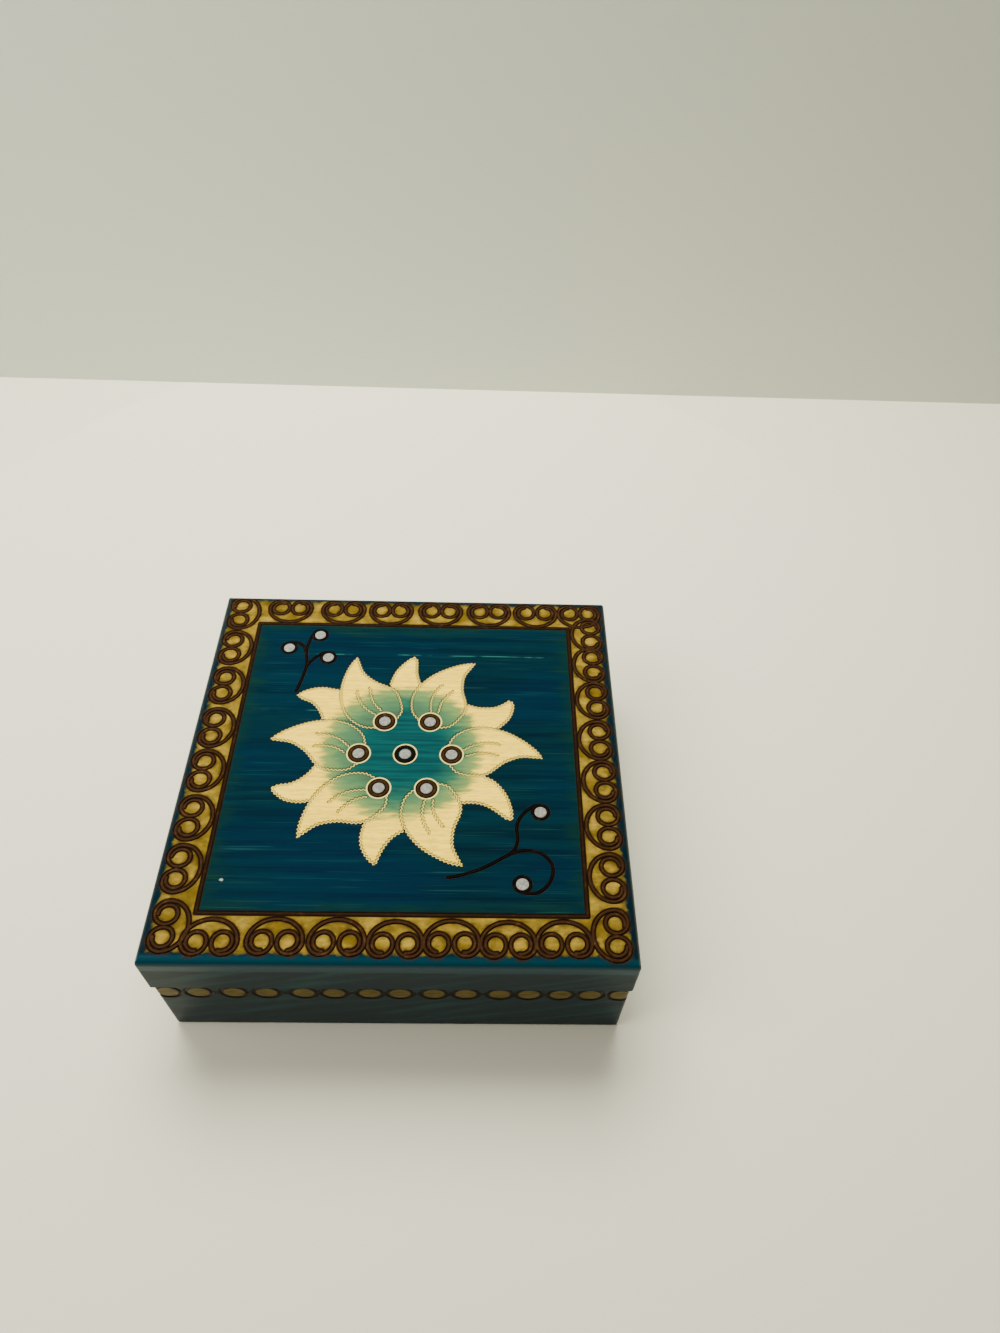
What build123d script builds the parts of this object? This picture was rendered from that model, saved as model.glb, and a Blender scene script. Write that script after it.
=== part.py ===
"""Square wooden keepsake box with a hinged lid, in millimetres.

The box is two shallow trays of lime wood. The base has four mitred walls round a thin
plywood bottom, and the lid has four mitred rails under a solid top panel. The lid stands
a little proud of the base all round. Two small butt hinges lie in the seam at the back:
each has two leaves let in flush, rolled knuckles round a pin, and countersunk screws.
The back edges of lid and base are bevelled through the hinge axis, and the two bevels
meet when the lid leans back a little past upright. Round metal pegs are inlaid in the
top panel: seven in the flower, three and two in the sprigs beside it.

The origin is the middle of the underside. X is the width, Y points to the back, Z is up.
"""
import os
from math import cos, radians, sin, tan

from build123d import *

# Lid and base, outside
lid_width = 150.0
lid_depth = 150.0
lid_overhang = 0.6
base_height = 33.2
seam_gap = 0.2
rail_height = 13.1
panel_thickness = 6.0

# Walls, corners and edges
wall_thickness = 9.0
rail_thickness = 9.0
base_corner_radius = 1.5
lid_corner_radius = 1.0
foot_radius = 1.2
panel_edge_radius = 2.8

# Plywood bottom, let up into a rebate
bottom_thickness = 4.0
rebate_width = 4.5
bottom_recess = 0.4
bottom_clearance = 0.15

# Stop bevels at the back: each is half of the opening, and a little more
lid_opening = 100.0
bevel_clearance = 1.0
axis_inset = 2.4

# Hinges
hinge_end_margin = 28.4
hinge_length = 22.0
leaf_thickness = 0.8
leaf_margin = 1.2
barrel_radius = 1.6
pin_radius = 0.75
pin_end_chamfer = 0.2
knuckle_count = 5
knuckle_gap = 0.1
running_clearance = 0.04
barrel_clearance = 0.2
leaf_clearance = 0.1
leaf_end_radius = 0.8

# Hinge screws
screw_radius = 0.7
screw_length = 6.5
screw_head_radius = 1.25
screw_point_length = 1.6
screw_spread = 0.6
screw_slot_width = 0.4
screw_slot_depth = 0.35
pilot_clearance = 0.05

# Inlaid pegs
peg_radius = 2.0
peg_length = 3.6
peg_proud = 0.15
peg_edge_chamfer = 0.12
peg_clearance = 0.02
flower_ring_radius = 16.1
petal_count = 6
back_sprig_pegs = [(-35.8, 54.5), (-46.7, 47.8), (-31.5, 43.3)]
front_sprig_pegs = [(46.3, -22.6), (39.8, -48.7)]

# Worked out from the values above
base_width = lid_width - 2 * lid_overhang
base_depth = lid_depth - 2 * lid_overhang
seam_top = base_height + seam_gap
panel_bottom = seam_top + rail_height
lid_top = panel_bottom + panel_thickness
axis_y = base_depth / 2 - axis_inset
axis_z = base_height + seam_gap / 2
bevel_angle = (lid_opening + bevel_clearance) / 2
knuckle_pitch = hinge_length / knuckle_count
leaf_width = wall_thickness - axis_inset - leaf_margin
screw_spacing = hinge_length * screw_spread
screw_y = axis_y - (barrel_radius + barrel_clearance + leaf_width) / 2
hinge_centres = [hinge_end_margin - base_width / 2, base_width / 2 - hinge_end_margin]
hinge_places = {"left": hinge_centres[0], "right": hinge_centres[1]}
sides = {"front": (0, -1), "back": (0, 1), "left": (-1, 0), "right": (1, 0)}

os.makedirs("parts", exist_ok=True)


def write(piece, name):
    """Label a finished piece and write it as one STEP file."""
    piece.label = name
    export_step(piece, f"parts/{name}.step")
    print(f"{name}: {len(piece.solids())} solid(s), {piece.volume:.1f} mm3")


def mitre_plane(side, turn, width, depth):
    """The 45-degree plane at one end of a side, facing the wood of that side."""
    nx, ny = sides[side]
    tx, ty = -ny * turn, nx * turn
    corner = ((nx + tx) * width / 2, (ny + ty) * depth / 2, 0)
    return Plane(origin=corner, z_dir=(nx - tx, ny - ty, 0))


def bevel_profile(up):
    """Corner points of the wedge that the stop bevel removes, seen along X."""
    reach = axis_inset + lid_overhang + 1
    rise = reach * tan(radians(bevel_angle)) * up
    return [(axis_y, axis_z), (axis_y + reach, axis_z), (axis_y + reach, axis_z + rise)]


def leaf_bed(centre, up):
    """Space for one hinge leaf and for the barrel beside it, on one side of the seam."""
    seam_face = seam_gap / 2
    bed_length = hinge_length + 2 * leaf_clearance
    bed_width = leaf_width + leaf_clearance
    with BuildPart(mode=Mode.PRIVATE) as bed:
        with BuildSketch(Plane.XY.offset(axis_z + up * seam_face)):
            with Locations((centre, axis_y - bed_width / 2)):
                Rectangle(bed_length, bed_width)
        extrude(amount=up * leaf_thickness)
        with BuildSketch(Plane.YZ.offset(centre)):
            with Locations((axis_y, axis_z)):
                Circle(barrel_radius + barrel_clearance)
        extrude(amount=bed_length / 2, both=True)
    return bed.part


def pilot_holes(centre, up):
    """Holes in the wood for the two screws of one leaf."""
    with BuildPart(mode=Mode.PRIVATE) as holes:
        with BuildSketch(Plane.XY.offset(axis_z)):
            with Locations((centre, screw_y)):
                with GridLocations(screw_spacing, 1, 2, 1):
                    Circle(screw_radius + pilot_clearance)
        extrude(amount=up * (seam_gap / 2 + screw_length + pilot_clearance))
    return holes.part


# Base walls: one rebated ring, cut apart at the mitres
with BuildPart() as base_ring:
    with BuildSketch():
        Rectangle(base_width, base_depth)
    extrude(amount=base_height)
    fillet(base_ring.edges().filter_by(Axis.Z), radius=base_corner_radius)
    fillet(base_ring.faces().sort_by(Axis.Z)[0].edges(), radius=foot_radius)
    with BuildSketch():
        Rectangle(base_width - 2 * wall_thickness, base_depth - 2 * wall_thickness)
    extrude(amount=base_height, mode=Mode.SUBTRACT)
    with BuildSketch():
        Rectangle(
            base_width - 2 * wall_thickness + 2 * rebate_width,
            base_depth - 2 * wall_thickness + 2 * rebate_width,
        )
    extrude(amount=bottom_recess + bottom_thickness, mode=Mode.SUBTRACT)
    with BuildSketch(Plane.YZ):
        Polygon(*bevel_profile(-1), align=None)
    extrude(amount=lid_width, both=True, mode=Mode.SUBTRACT)

for side in sides:
    with BuildPart() as base_wall:
        add(base_ring.part)
        split(bisect_by=mitre_plane(side, -1, base_width, base_depth), keep=Keep.TOP)
        split(bisect_by=mitre_plane(side, 1, base_width, base_depth), keep=Keep.TOP)
        if side == "back":
            for place in hinge_centres:
                add(leaf_bed(place, -1), mode=Mode.SUBTRACT)
                add(pilot_holes(place, -1), mode=Mode.SUBTRACT)
    write(base_wall.part, f"base_{side}_wall")

# Plywood bottom, seated against the shoulder of the rebate
with BuildPart() as base_bottom:
    bottom_width = base_width - 2 * (wall_thickness - rebate_width + bottom_clearance)
    bottom_depth = base_depth - 2 * (wall_thickness - rebate_width + bottom_clearance)
    with BuildSketch(Plane.XY.offset(bottom_recess)):
        Rectangle(bottom_width, bottom_depth)
    extrude(amount=bottom_thickness)
write(base_bottom.part, "base_bottom")

# Lid rails: a ring like the base's, cut apart at the mitres
with BuildPart() as rail_ring:
    with BuildSketch(Plane.XY.offset(seam_top)):
        Rectangle(lid_width, lid_depth)
    extrude(amount=rail_height)
    fillet(rail_ring.edges().filter_by(Axis.Z), radius=lid_corner_radius)
    with BuildSketch(Plane.XY.offset(seam_top)):
        Rectangle(lid_width - 2 * rail_thickness, lid_depth - 2 * rail_thickness)
    extrude(amount=rail_height, mode=Mode.SUBTRACT)
    with BuildSketch(Plane.YZ):
        Polygon(*bevel_profile(1), align=None)
    extrude(amount=lid_width, both=True, mode=Mode.SUBTRACT)

for side in sides:
    with BuildPart() as lid_rail:
        add(rail_ring.part)
        split(bisect_by=mitre_plane(side, -1, lid_width, lid_depth), keep=Keep.TOP)
        split(bisect_by=mitre_plane(side, 1, lid_width, lid_depth), keep=Keep.TOP)
        if side == "back":
            for place in hinge_centres:
                add(leaf_bed(place, 1), mode=Mode.SUBTRACT)
                add(pilot_holes(place, 1), mode=Mode.SUBTRACT)
    write(lid_rail.part, f"lid_{side}_rail")

# Pegs of the flower: one in the middle and one at the root of each petal
peg_places = {"inlay_centre": (0, 0)}
for i in range(petal_count):
    angle = radians(360 * i / petal_count)
    root = (flower_ring_radius * cos(angle), flower_ring_radius * sin(angle))
    peg_places[f"inlay_petal_{i + 1}"] = root
for i, place in enumerate(back_sprig_pegs):
    peg_places[f"inlay_back_sprig_{i + 1}"] = place
for i, place in enumerate(front_sprig_pegs):
    peg_places[f"inlay_front_sprig_{i + 1}"] = place

# Top panel: rounded over along all four edges, with a blind hole for each peg
with BuildPart() as lid_panel:
    with BuildSketch(Plane.XY.offset(panel_bottom)):
        Rectangle(lid_width, lid_depth)
    extrude(amount=panel_thickness)
    fillet(lid_panel.edges().filter_by(Axis.Z), radius=lid_corner_radius)
    for plane, span in ((Plane.XZ, lid_width), (Plane.YZ, lid_depth)):
        with BuildSketch(plane):
            with Locations((0, panel_bottom + panel_thickness / 2)):
                crown = Rectangle(span, panel_thickness)
            fillet(crown.vertices().group_by(Axis.Y)[-1], radius=panel_edge_radius)
        extrude(amount=lid_width + lid_depth, both=True, mode=Mode.INTERSECT)
    with BuildSketch(Plane.XY.offset(lid_top)):
        with Locations(*peg_places.values()):
            Circle(peg_radius + peg_clearance)
    extrude(amount=-(peg_length - peg_proud), mode=Mode.SUBTRACT)
write(lid_panel.part, "lid_panel")

for name, place in peg_places.items():
    with BuildPart() as peg:
        with BuildSketch(Plane.XY.offset(lid_top - peg_length + peg_proud)):
            with Locations(place):
                Circle(peg_radius)
        extrude(amount=peg_length)
        chamfer(peg.faces().sort_by(Axis.Z)[-1].edges(), length=peg_edge_chamfer)
    write(peg.part, name)


def hinge_leaf(centre, up):
    """One leaf: a flat plate with every second knuckle rolled round the pin.

    The base's leaf (up = -1) has the knuckles at the ends, the lid's leaf (up = 1) has
    the ones between them. The lid's knuckles turn on the pin, the base's grip it.
    """
    first = 0 if up < 0 else 1
    own = [k for k in range(knuckle_count) if k % 2 == first]
    other = [k for k in range(knuckle_count) if k % 2 != first]
    start = centre - hinge_length / 2
    bore = pin_radius if up < 0 else pin_radius + running_clearance
    with BuildPart() as leaf:
        with BuildSketch(Plane.XY.offset(axis_z + up * seam_gap / 2)):
            with Locations((centre, axis_y - leaf_width / 2)):
                plate = Rectangle(hinge_length, leaf_width)
            fillet(plate.vertices().group_by(Axis.Y)[0], radius=leaf_end_radius)
        extrude(amount=up * leaf_thickness)
        for k in own:
            with BuildSketch(Plane.YZ.offset(start + k * knuckle_pitch + knuckle_gap / 2)):
                with Locations((axis_y, axis_z)):
                    Circle(barrel_radius)
            extrude(amount=knuckle_pitch - knuckle_gap)
        for k in other:
            with BuildSketch(Plane.YZ.offset(start + k * knuckle_pitch - knuckle_gap / 2)):
                with Locations((axis_y, axis_z)):
                    Circle(barrel_radius + barrel_clearance)
            extrude(amount=knuckle_pitch + knuckle_gap, mode=Mode.SUBTRACT)
        with BuildSketch(Plane.YZ.offset(centre)):
            with Locations((axis_y, axis_z)):
                Circle(bore)
        extrude(amount=hinge_length, both=True, mode=Mode.SUBTRACT)
        for x in (centre - screw_spacing / 2, centre + screw_spacing / 2):
            add(screw_shape(x, up), mode=Mode.SUBTRACT)
    return leaf


def screw_shape(x, up):
    """A countersunk screw whose head is flush with the leaf's face at the seam."""
    head_face = axis_z + up * seam_gap / 2
    taper = screw_head_radius - screw_radius
    with BuildPart(mode=Mode.PRIVATE) as screw:
        with BuildSketch(Plane.XZ):
            with BuildLine():
                Polyline(
                    (0, 0),
                    (screw_head_radius, 0),
                    (screw_radius, taper),
                    (screw_radius, screw_length - screw_point_length),
                    (0, screw_length),
                    close=True,
                )
            make_face()
        revolve(axis=Axis.Z)
    turned = screw.part if up > 0 else screw.part.mirror(Plane.XY)
    return turned.moved(Location((x, screw_y, head_face)))


def leaf_screws(centre, up):
    """The two slotted screws of one leaf."""
    with BuildPart() as pair:
        for x in (centre - screw_spacing / 2, centre + screw_spacing / 2):
            add(screw_shape(x, up))
        with BuildSketch(Plane.XY.offset(axis_z + up * seam_gap / 2)):
            with Locations((centre, screw_y)):
                with GridLocations(screw_spacing, 1, 2, 1):
                    Rectangle(2 * screw_head_radius, screw_slot_width)
        extrude(amount=up * screw_slot_depth, mode=Mode.SUBTRACT)
    return pair


for name, place in hinge_places.items():
    write(hinge_leaf(place, -1).part, f"{name}_hinge_base_leaf")
    write(hinge_leaf(place, 1).part, f"{name}_hinge_lid_leaf")
    write(leaf_screws(place, -1).part, f"{name}_hinge_base_screws")
    write(leaf_screws(place, 1).part, f"{name}_hinge_lid_screws")
    with BuildPart() as pin:
        with BuildSketch(Plane.YZ.offset(place - hinge_length / 2)):
            with Locations((axis_y, axis_z)):
                Circle(pin_radius)
        extrude(amount=hinge_length)
        chamfer(pin.edges().filter_by(GeomType.CIRCLE), length=pin_end_chamfer)
    write(pin.part, f"{name}_hinge_pin")
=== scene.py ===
"""The looks of the carved keepsake box: carved, burnt and stained wood with metal pegs.

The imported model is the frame. The lid's top board and the base's front and side walls
are modelled again here with their carving cut into them as real relief, and stand for
the same pieces of the frame. Everything else is the frame's own shape with a material
on it.

Lengths inside the carving classes are in millimetres, as a carver would mark them out;
meshes are handed to Blender in metres.
"""
import logging
import math
from dataclasses import dataclass, field
from enum import Enum
from typing import Callable, Sequence

import bmesh
import bpy
import numpy as np
from mathutils import Matrix, Vector

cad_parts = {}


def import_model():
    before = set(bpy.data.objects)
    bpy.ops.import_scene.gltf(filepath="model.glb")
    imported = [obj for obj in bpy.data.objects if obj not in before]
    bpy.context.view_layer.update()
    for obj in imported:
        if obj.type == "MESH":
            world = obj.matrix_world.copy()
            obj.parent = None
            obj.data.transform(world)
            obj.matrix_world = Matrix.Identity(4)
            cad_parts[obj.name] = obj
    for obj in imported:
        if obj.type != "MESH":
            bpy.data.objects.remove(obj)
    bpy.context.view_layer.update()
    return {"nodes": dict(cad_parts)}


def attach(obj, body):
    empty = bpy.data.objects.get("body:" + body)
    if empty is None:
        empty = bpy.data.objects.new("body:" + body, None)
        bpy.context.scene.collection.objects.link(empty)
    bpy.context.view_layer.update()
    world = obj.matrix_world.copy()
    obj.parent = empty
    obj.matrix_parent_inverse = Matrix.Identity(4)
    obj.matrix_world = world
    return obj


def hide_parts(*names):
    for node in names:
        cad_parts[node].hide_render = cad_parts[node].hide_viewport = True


log = logging.getLogger("keepsake_box")

MM = 0.001

# Main sizes of the box, in millimetres
LID_HALF = 75.0
LID_TOP = 52.5
PANEL_BOTTOM = 46.5
PANEL_EDGE_RADIUS = 2.8
LID_CORNER_RADIUS = 1.0
BASE_HALF = 74.4
BASE_HEIGHT = 33.2
WALL_THICKNESS = 9.0
REBATE_WIDTH = 4.5
REBATE_HEIGHT = 4.4
BASE_CORNER_RADIUS = 1.5
FOOT_RADIUS = 1.2
PEG_RADIUS = 2.0
PEG_CLEARANCE = 0.02
PEG_HOLE_DEPTH = 3.45
# The hinges' axis, as (y, z), and the stop bevel: its angle and how far its cut reaches
HINGE_AXIS = (72.0, 33.3)
BEVEL_ANGLE = 50.5
BEVEL_REACH = 6.0
# How far a cutter stands clear of the surface that it cuts through
CLEAR = 1.0

Array = np.ndarray
Point = tuple[float, float]
Points = Sequence[Point]


class Cut(Enum):
    """The kinds of line that the carver's tools leave."""

    BAND = "broad burnt scroll, two grooves with a ridge between them"
    BRANCH = "narrow burnt line, two fine grooves with a dark ridge"
    RING = "burnt double ring round a peg"
    FRAME = "straight burnt line round the field, two grooves with a dark ridge"
    ROPE = "pale rocked-gouge line with burnt specks along it"
    HAIR = "fine pale scratched line"
    CHAIN = "single burnt groove of the chain on the walls"
    LINK = "finer line between two rings of the chain"


@dataclass(frozen=True)
class CutShape:
    """The section across a line.

    Attributes:
        half_width: Half of the burnt or pale width.
        groove_at: Distance of each groove from the middle line.
        groove_half: Half of a groove's width.
        depth: Depth of the groove.
        ridge_char: How black the wood between the grooves is, from 0 to 1.
    """

    half_width: float
    groove_at: float
    groove_half: float
    depth: float
    ridge_char: float


SHAPES = {
    Cut.BAND: CutShape(0.88, 0.62, 0.34, 0.4, 0.0),
    Cut.BRANCH: CutShape(0.62, 0.36, 0.26, 0.3, 0.92),
    Cut.RING: CutShape(0.84, 0.6, 0.3, 0.32, 0.05),
    Cut.FRAME: CutShape(0.9, 0.58, 0.32, 0.32, 0.55),
    Cut.ROPE: CutShape(0.12, 0.0, 0.4, 0.26, 0.0),
    Cut.HAIR: CutShape(0.16, 0.0, 0.26, 0.14, 0.0),
    Cut.CHAIN: CutShape(0.86, 0.0, 0.8, 0.42, 0.9),
    Cut.LINK: CutShape(0.42, 0.0, 0.4, 0.24, 0.5),
}

# The wave that the rocked gouge leaves, and the burnt specks on its flanks: how they lag
# behind the wave, where they start and stop, and how far they fade between two of them
ROPE_WAVE = 0.24
ROPE_PERIOD = 1.4
SPECK_LAG = 1.6
SPECK_START = (0.06, 0.15)
SPECK_STOP = (0.48, 0.7)
SPECK_FADE = 0.3
# How far the edge of a line fades inwards and outwards, and the scorch beside a band
FADE_IN, FADE_OUT = 0.1, 0.08
SCORCH = (0.7, 2.3)

# A carved mesh carries these tones as attributes for its material
TONES = ("burn", "char", "pale", "speck", "halo", "ochre", "flower", "petal")
# A change across a cell that counts as detail, for a tone; relief counts double
DETAIL = 0.03
# Each round of splitting: size of the faces before it, in cells, and the margins round
# detail and round rounded forms, which keep the next round's faces free of loose corners
SPLITS = ((8, 6, 4), (4, 2, 0), (2, 0, None))
NET_MARGIN = 0.01


@dataclass(frozen=True)
class Stroke:
    """One pass of a tool: a polyline on the face, in millimetres."""

    path: Array
    cut: Cut


def spline(points: Points, step: float = 0.4) -> Array:
    """A smooth open curve through given points.

    Args:
        points: The points, in millimetres.
        step: Distance between the points of the result.

    Returns:
        The curve's points, one row each.
    """
    p = np.array(points, float)
    p = np.vstack([2 * p[0] - p[1], p, 2 * p[-1] - p[-2]])
    rows = []
    for a, b, c, d in zip(p[:-3], p[1:-2], p[2:-1], p[3:]):
        n = max(2, int(np.linalg.norm(c - b) / step) + 1)
        t = np.linspace(0, 1, n, endpoint=False)[:, None]
        rows.append(
            0.5 * (2 * b + (c - a) * t + (2 * a - 5 * b + 4 * c - d) * t**2
                   + (3 * b - a - 3 * c + d) * t**3)
        )
    return np.vstack(rows + [p[-2:-1]])


def ring(centre: Point, radius: float, step: float = 0.4) -> Array:
    """A circle as a closed line.

    Args:
        centre: Its middle.
        radius: Its radius.
        step: Distance between the points of the result.

    Returns:
        The points, one row each, the first one repeated at the end.
    """
    n = max(12, int(2 * math.pi * radius / step))
    a = np.linspace(0, 2 * math.pi, n + 1)
    return np.column_stack([centre[0] + radius * np.cos(a),
                            centre[1] + radius * np.sin(a)])


def smooth(low: float, high: float, x: Array) -> Array:
    """0 below low and 1 above high, with an even change between them."""
    t = np.clip((x - low) / (high - low), 0, 1)
    return t * t * (3 - 2 * t)


class Canvas:
    """A flat face that strokes are drawn on, held as a fine grid of points.

    For each kind of cut it keeps the distance from each grid point to the nearest
    middle line, the side of the line the point is on, and how far along it is.

    Attributes:
        reach: How far from a stroke the face is looked at.
        far: Distance that stands for no stroke nearby.
    """

    reach = 2.6
    far = 99.0

    def __init__(self, low: Point, cells: tuple[int, int], pitch: Point) -> None:
        """Makes an empty face.

        Args:
            low: The face's lowest corner.
            cells: Number of cells along and across.
            pitch: Size of a cell along and across.
        """
        self.low, self.cells, self.pitch = low, cells, pitch
        self.u = low[0] + pitch[0] * np.arange(cells[0] + 1)
        self.v = low[1] + pitch[1] * np.arange(cells[1] + 1)
        self.uu, self.vv = np.meshgrid(self.u, self.v)
        shape = self.uu.shape
        self.distance = {cut: np.full(shape, self.far) for cut in Cut}
        self.side = {cut: np.ones(shape) for cut in Cut}
        self.along = {cut: np.zeros(shape) for cut in Cut}
        self.relief = np.zeros(shape)
        self.tones: dict[str, Array] = {}

    def _window(self, low: Array, high: Array) -> tuple[slice, slice]:
        """Finds the part of the grid between two corners.

        Args:
            low: The lower corner.
            high: The higher corner.

        Returns:
            The rows and the columns of the grid.
        """
        spans = []
        for a, b, start, pitch, cells in zip(low, high, self.low, self.pitch, self.cells):
            stop = min(cells + 1, int((b - start) / pitch) + 2)
            spans.append(slice(max(0, int((a - start) / pitch)), max(0, stop)))
        return spans[1], spans[0]

    def draw(self, stroke: Stroke) -> None:
        """Adds a stroke to the face.

        Args:
            stroke: The stroke.
        """
        cut, path = stroke.cut, stroke.path
        done = 0.0
        for a, b in zip(path[:-1], path[1:]):
            step = b - a
            length = float(np.hypot(*step))
            if length < 1e-6:
                continue
            near = self._window(np.minimum(a, b) - self.reach,
                                np.maximum(a, b) + self.reach)
            dx, dy = self.uu[near] - a[0], self.vv[near] - a[1]
            t = np.clip((dx * step[0] + dy * step[1]) / length**2, 0, 1)
            gap = np.hypot(dx - t * step[0], dy - t * step[1])
            nearer = gap < self.distance[cut][near]
            turn = np.where(step[0] * dy - step[1] * dx < 0, -1.0, 1.0)
            self.distance[cut][near][nearer] = gap[nearer]
            self.along[cut][near][nearer] = (done + t * length)[nearer]
            self.side[cut][near][nearer] = turn[nearer]
            done += length

    def inside(self, outline: Array) -> Array:
        """Marks the grid points inside an outline, by crossing count.

        Args:
            outline: The outline's points, the last one joined to the first.

        Returns:
            1 at points inside it and 0 elsewhere.
        """
        found = np.zeros(self.uu.shape, bool)
        near = self._window(outline.min(0), outline.max(0))
        x, y = self.uu[near], self.vv[near]
        part = found[near]
        for (ax, ay), (bx, by) in zip(outline, np.roll(outline, -1, 0)):
            if ay == by:
                continue
            beyond = x < (bx - ax) * (y - ay) / (by - ay) + ax
            part ^= ((ay > y) != (by > y)) & beyond
        return found.astype(float)

    def _rope(self) -> tuple[Array, Array]:
        """Bends the rope lines into the wave that a rocked gouge leaves.

        Returns:
            The distance to the wavy line, and the burnt specks along its flanks.
        """
        side = self.side[Cut.ROPE]
        phase = 2 * math.pi * self.along[Cut.ROPE] / ROPE_PERIOD
        d = np.abs(side * self.distance[Cut.ROPE] - ROPE_WAVE * np.sin(phase))
        dots = 0.5 + 0.5 * np.sin(phase + SPECK_LAG * side)
        flank = smooth(*SPECK_START, d) * (1 - smooth(*SPECK_STOP, d))
        return d, flank * (1 - SPECK_FADE + SPECK_FADE * dots)

    def carve(self) -> None:
        """Works out relief and tones from the strokes drawn so far."""
        relief, burn, char, pale, speck = (np.zeros(self.uu.shape) for _ in range(5))
        for cut, shape in SHAPES.items():
            d = self.distance[cut]
            if cut is Cut.ROPE:
                d, speck = self._rope()
            groove = smooth(0, 1, 1 - np.abs(d - shape.groove_at) / shape.groove_half)
            relief = np.minimum(relief, -shape.depth * groove)
            edge = shape.half_width
            body = 1 - smooth(edge - FADE_IN, edge + FADE_OUT, d)
            if cut in (Cut.ROPE, Cut.HAIR):
                pale = np.maximum(pale, body)
            else:
                black = np.maximum(shape.ridge_char, groove)
                char = np.where(body > burn, black, char)
                burn = np.maximum(burn, body)
        self.tones.update(burn=burn, char=char, pale=pale, speck=speck)
        self.tones["halo"] = 1 - smooth(*SCORCH, self.distance[Cut.BAND])
        self.relief = relief

    def detail(self) -> Array:
        """Finds the cells that need small faces.

        Returns:
            True in grid cells where the surface or a tone changes quickly.
        """
        busy = np.zeros((self.cells[1], self.cells[0]), bool)
        layers = [tone for name, tone in self.tones.items() if name != "halo"]
        for layer in [self.relief * 2, *layers]:
            corners = (layer[:-1, :-1], layer[1:, :-1], layer[:-1, 1:], layer[1:, 1:])
            change = np.maximum.reduce(corners) - np.minimum.reduce(corners)
            busy |= change > DETAIL
        return busy


def widen(cells: Array, margin: int) -> Array:
    """Marks the cells near a marked one as well.

    Args:
        cells: The marked cells.
        margin: How many cells away still counts as near.

    Returns:
        The cells that are now marked.
    """
    for axis in (0, 1):
        cells = np.logical_or.reduce(
            [np.roll(cells, k, axis) for k in range(-margin, margin + 1)])
    return cells


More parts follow.
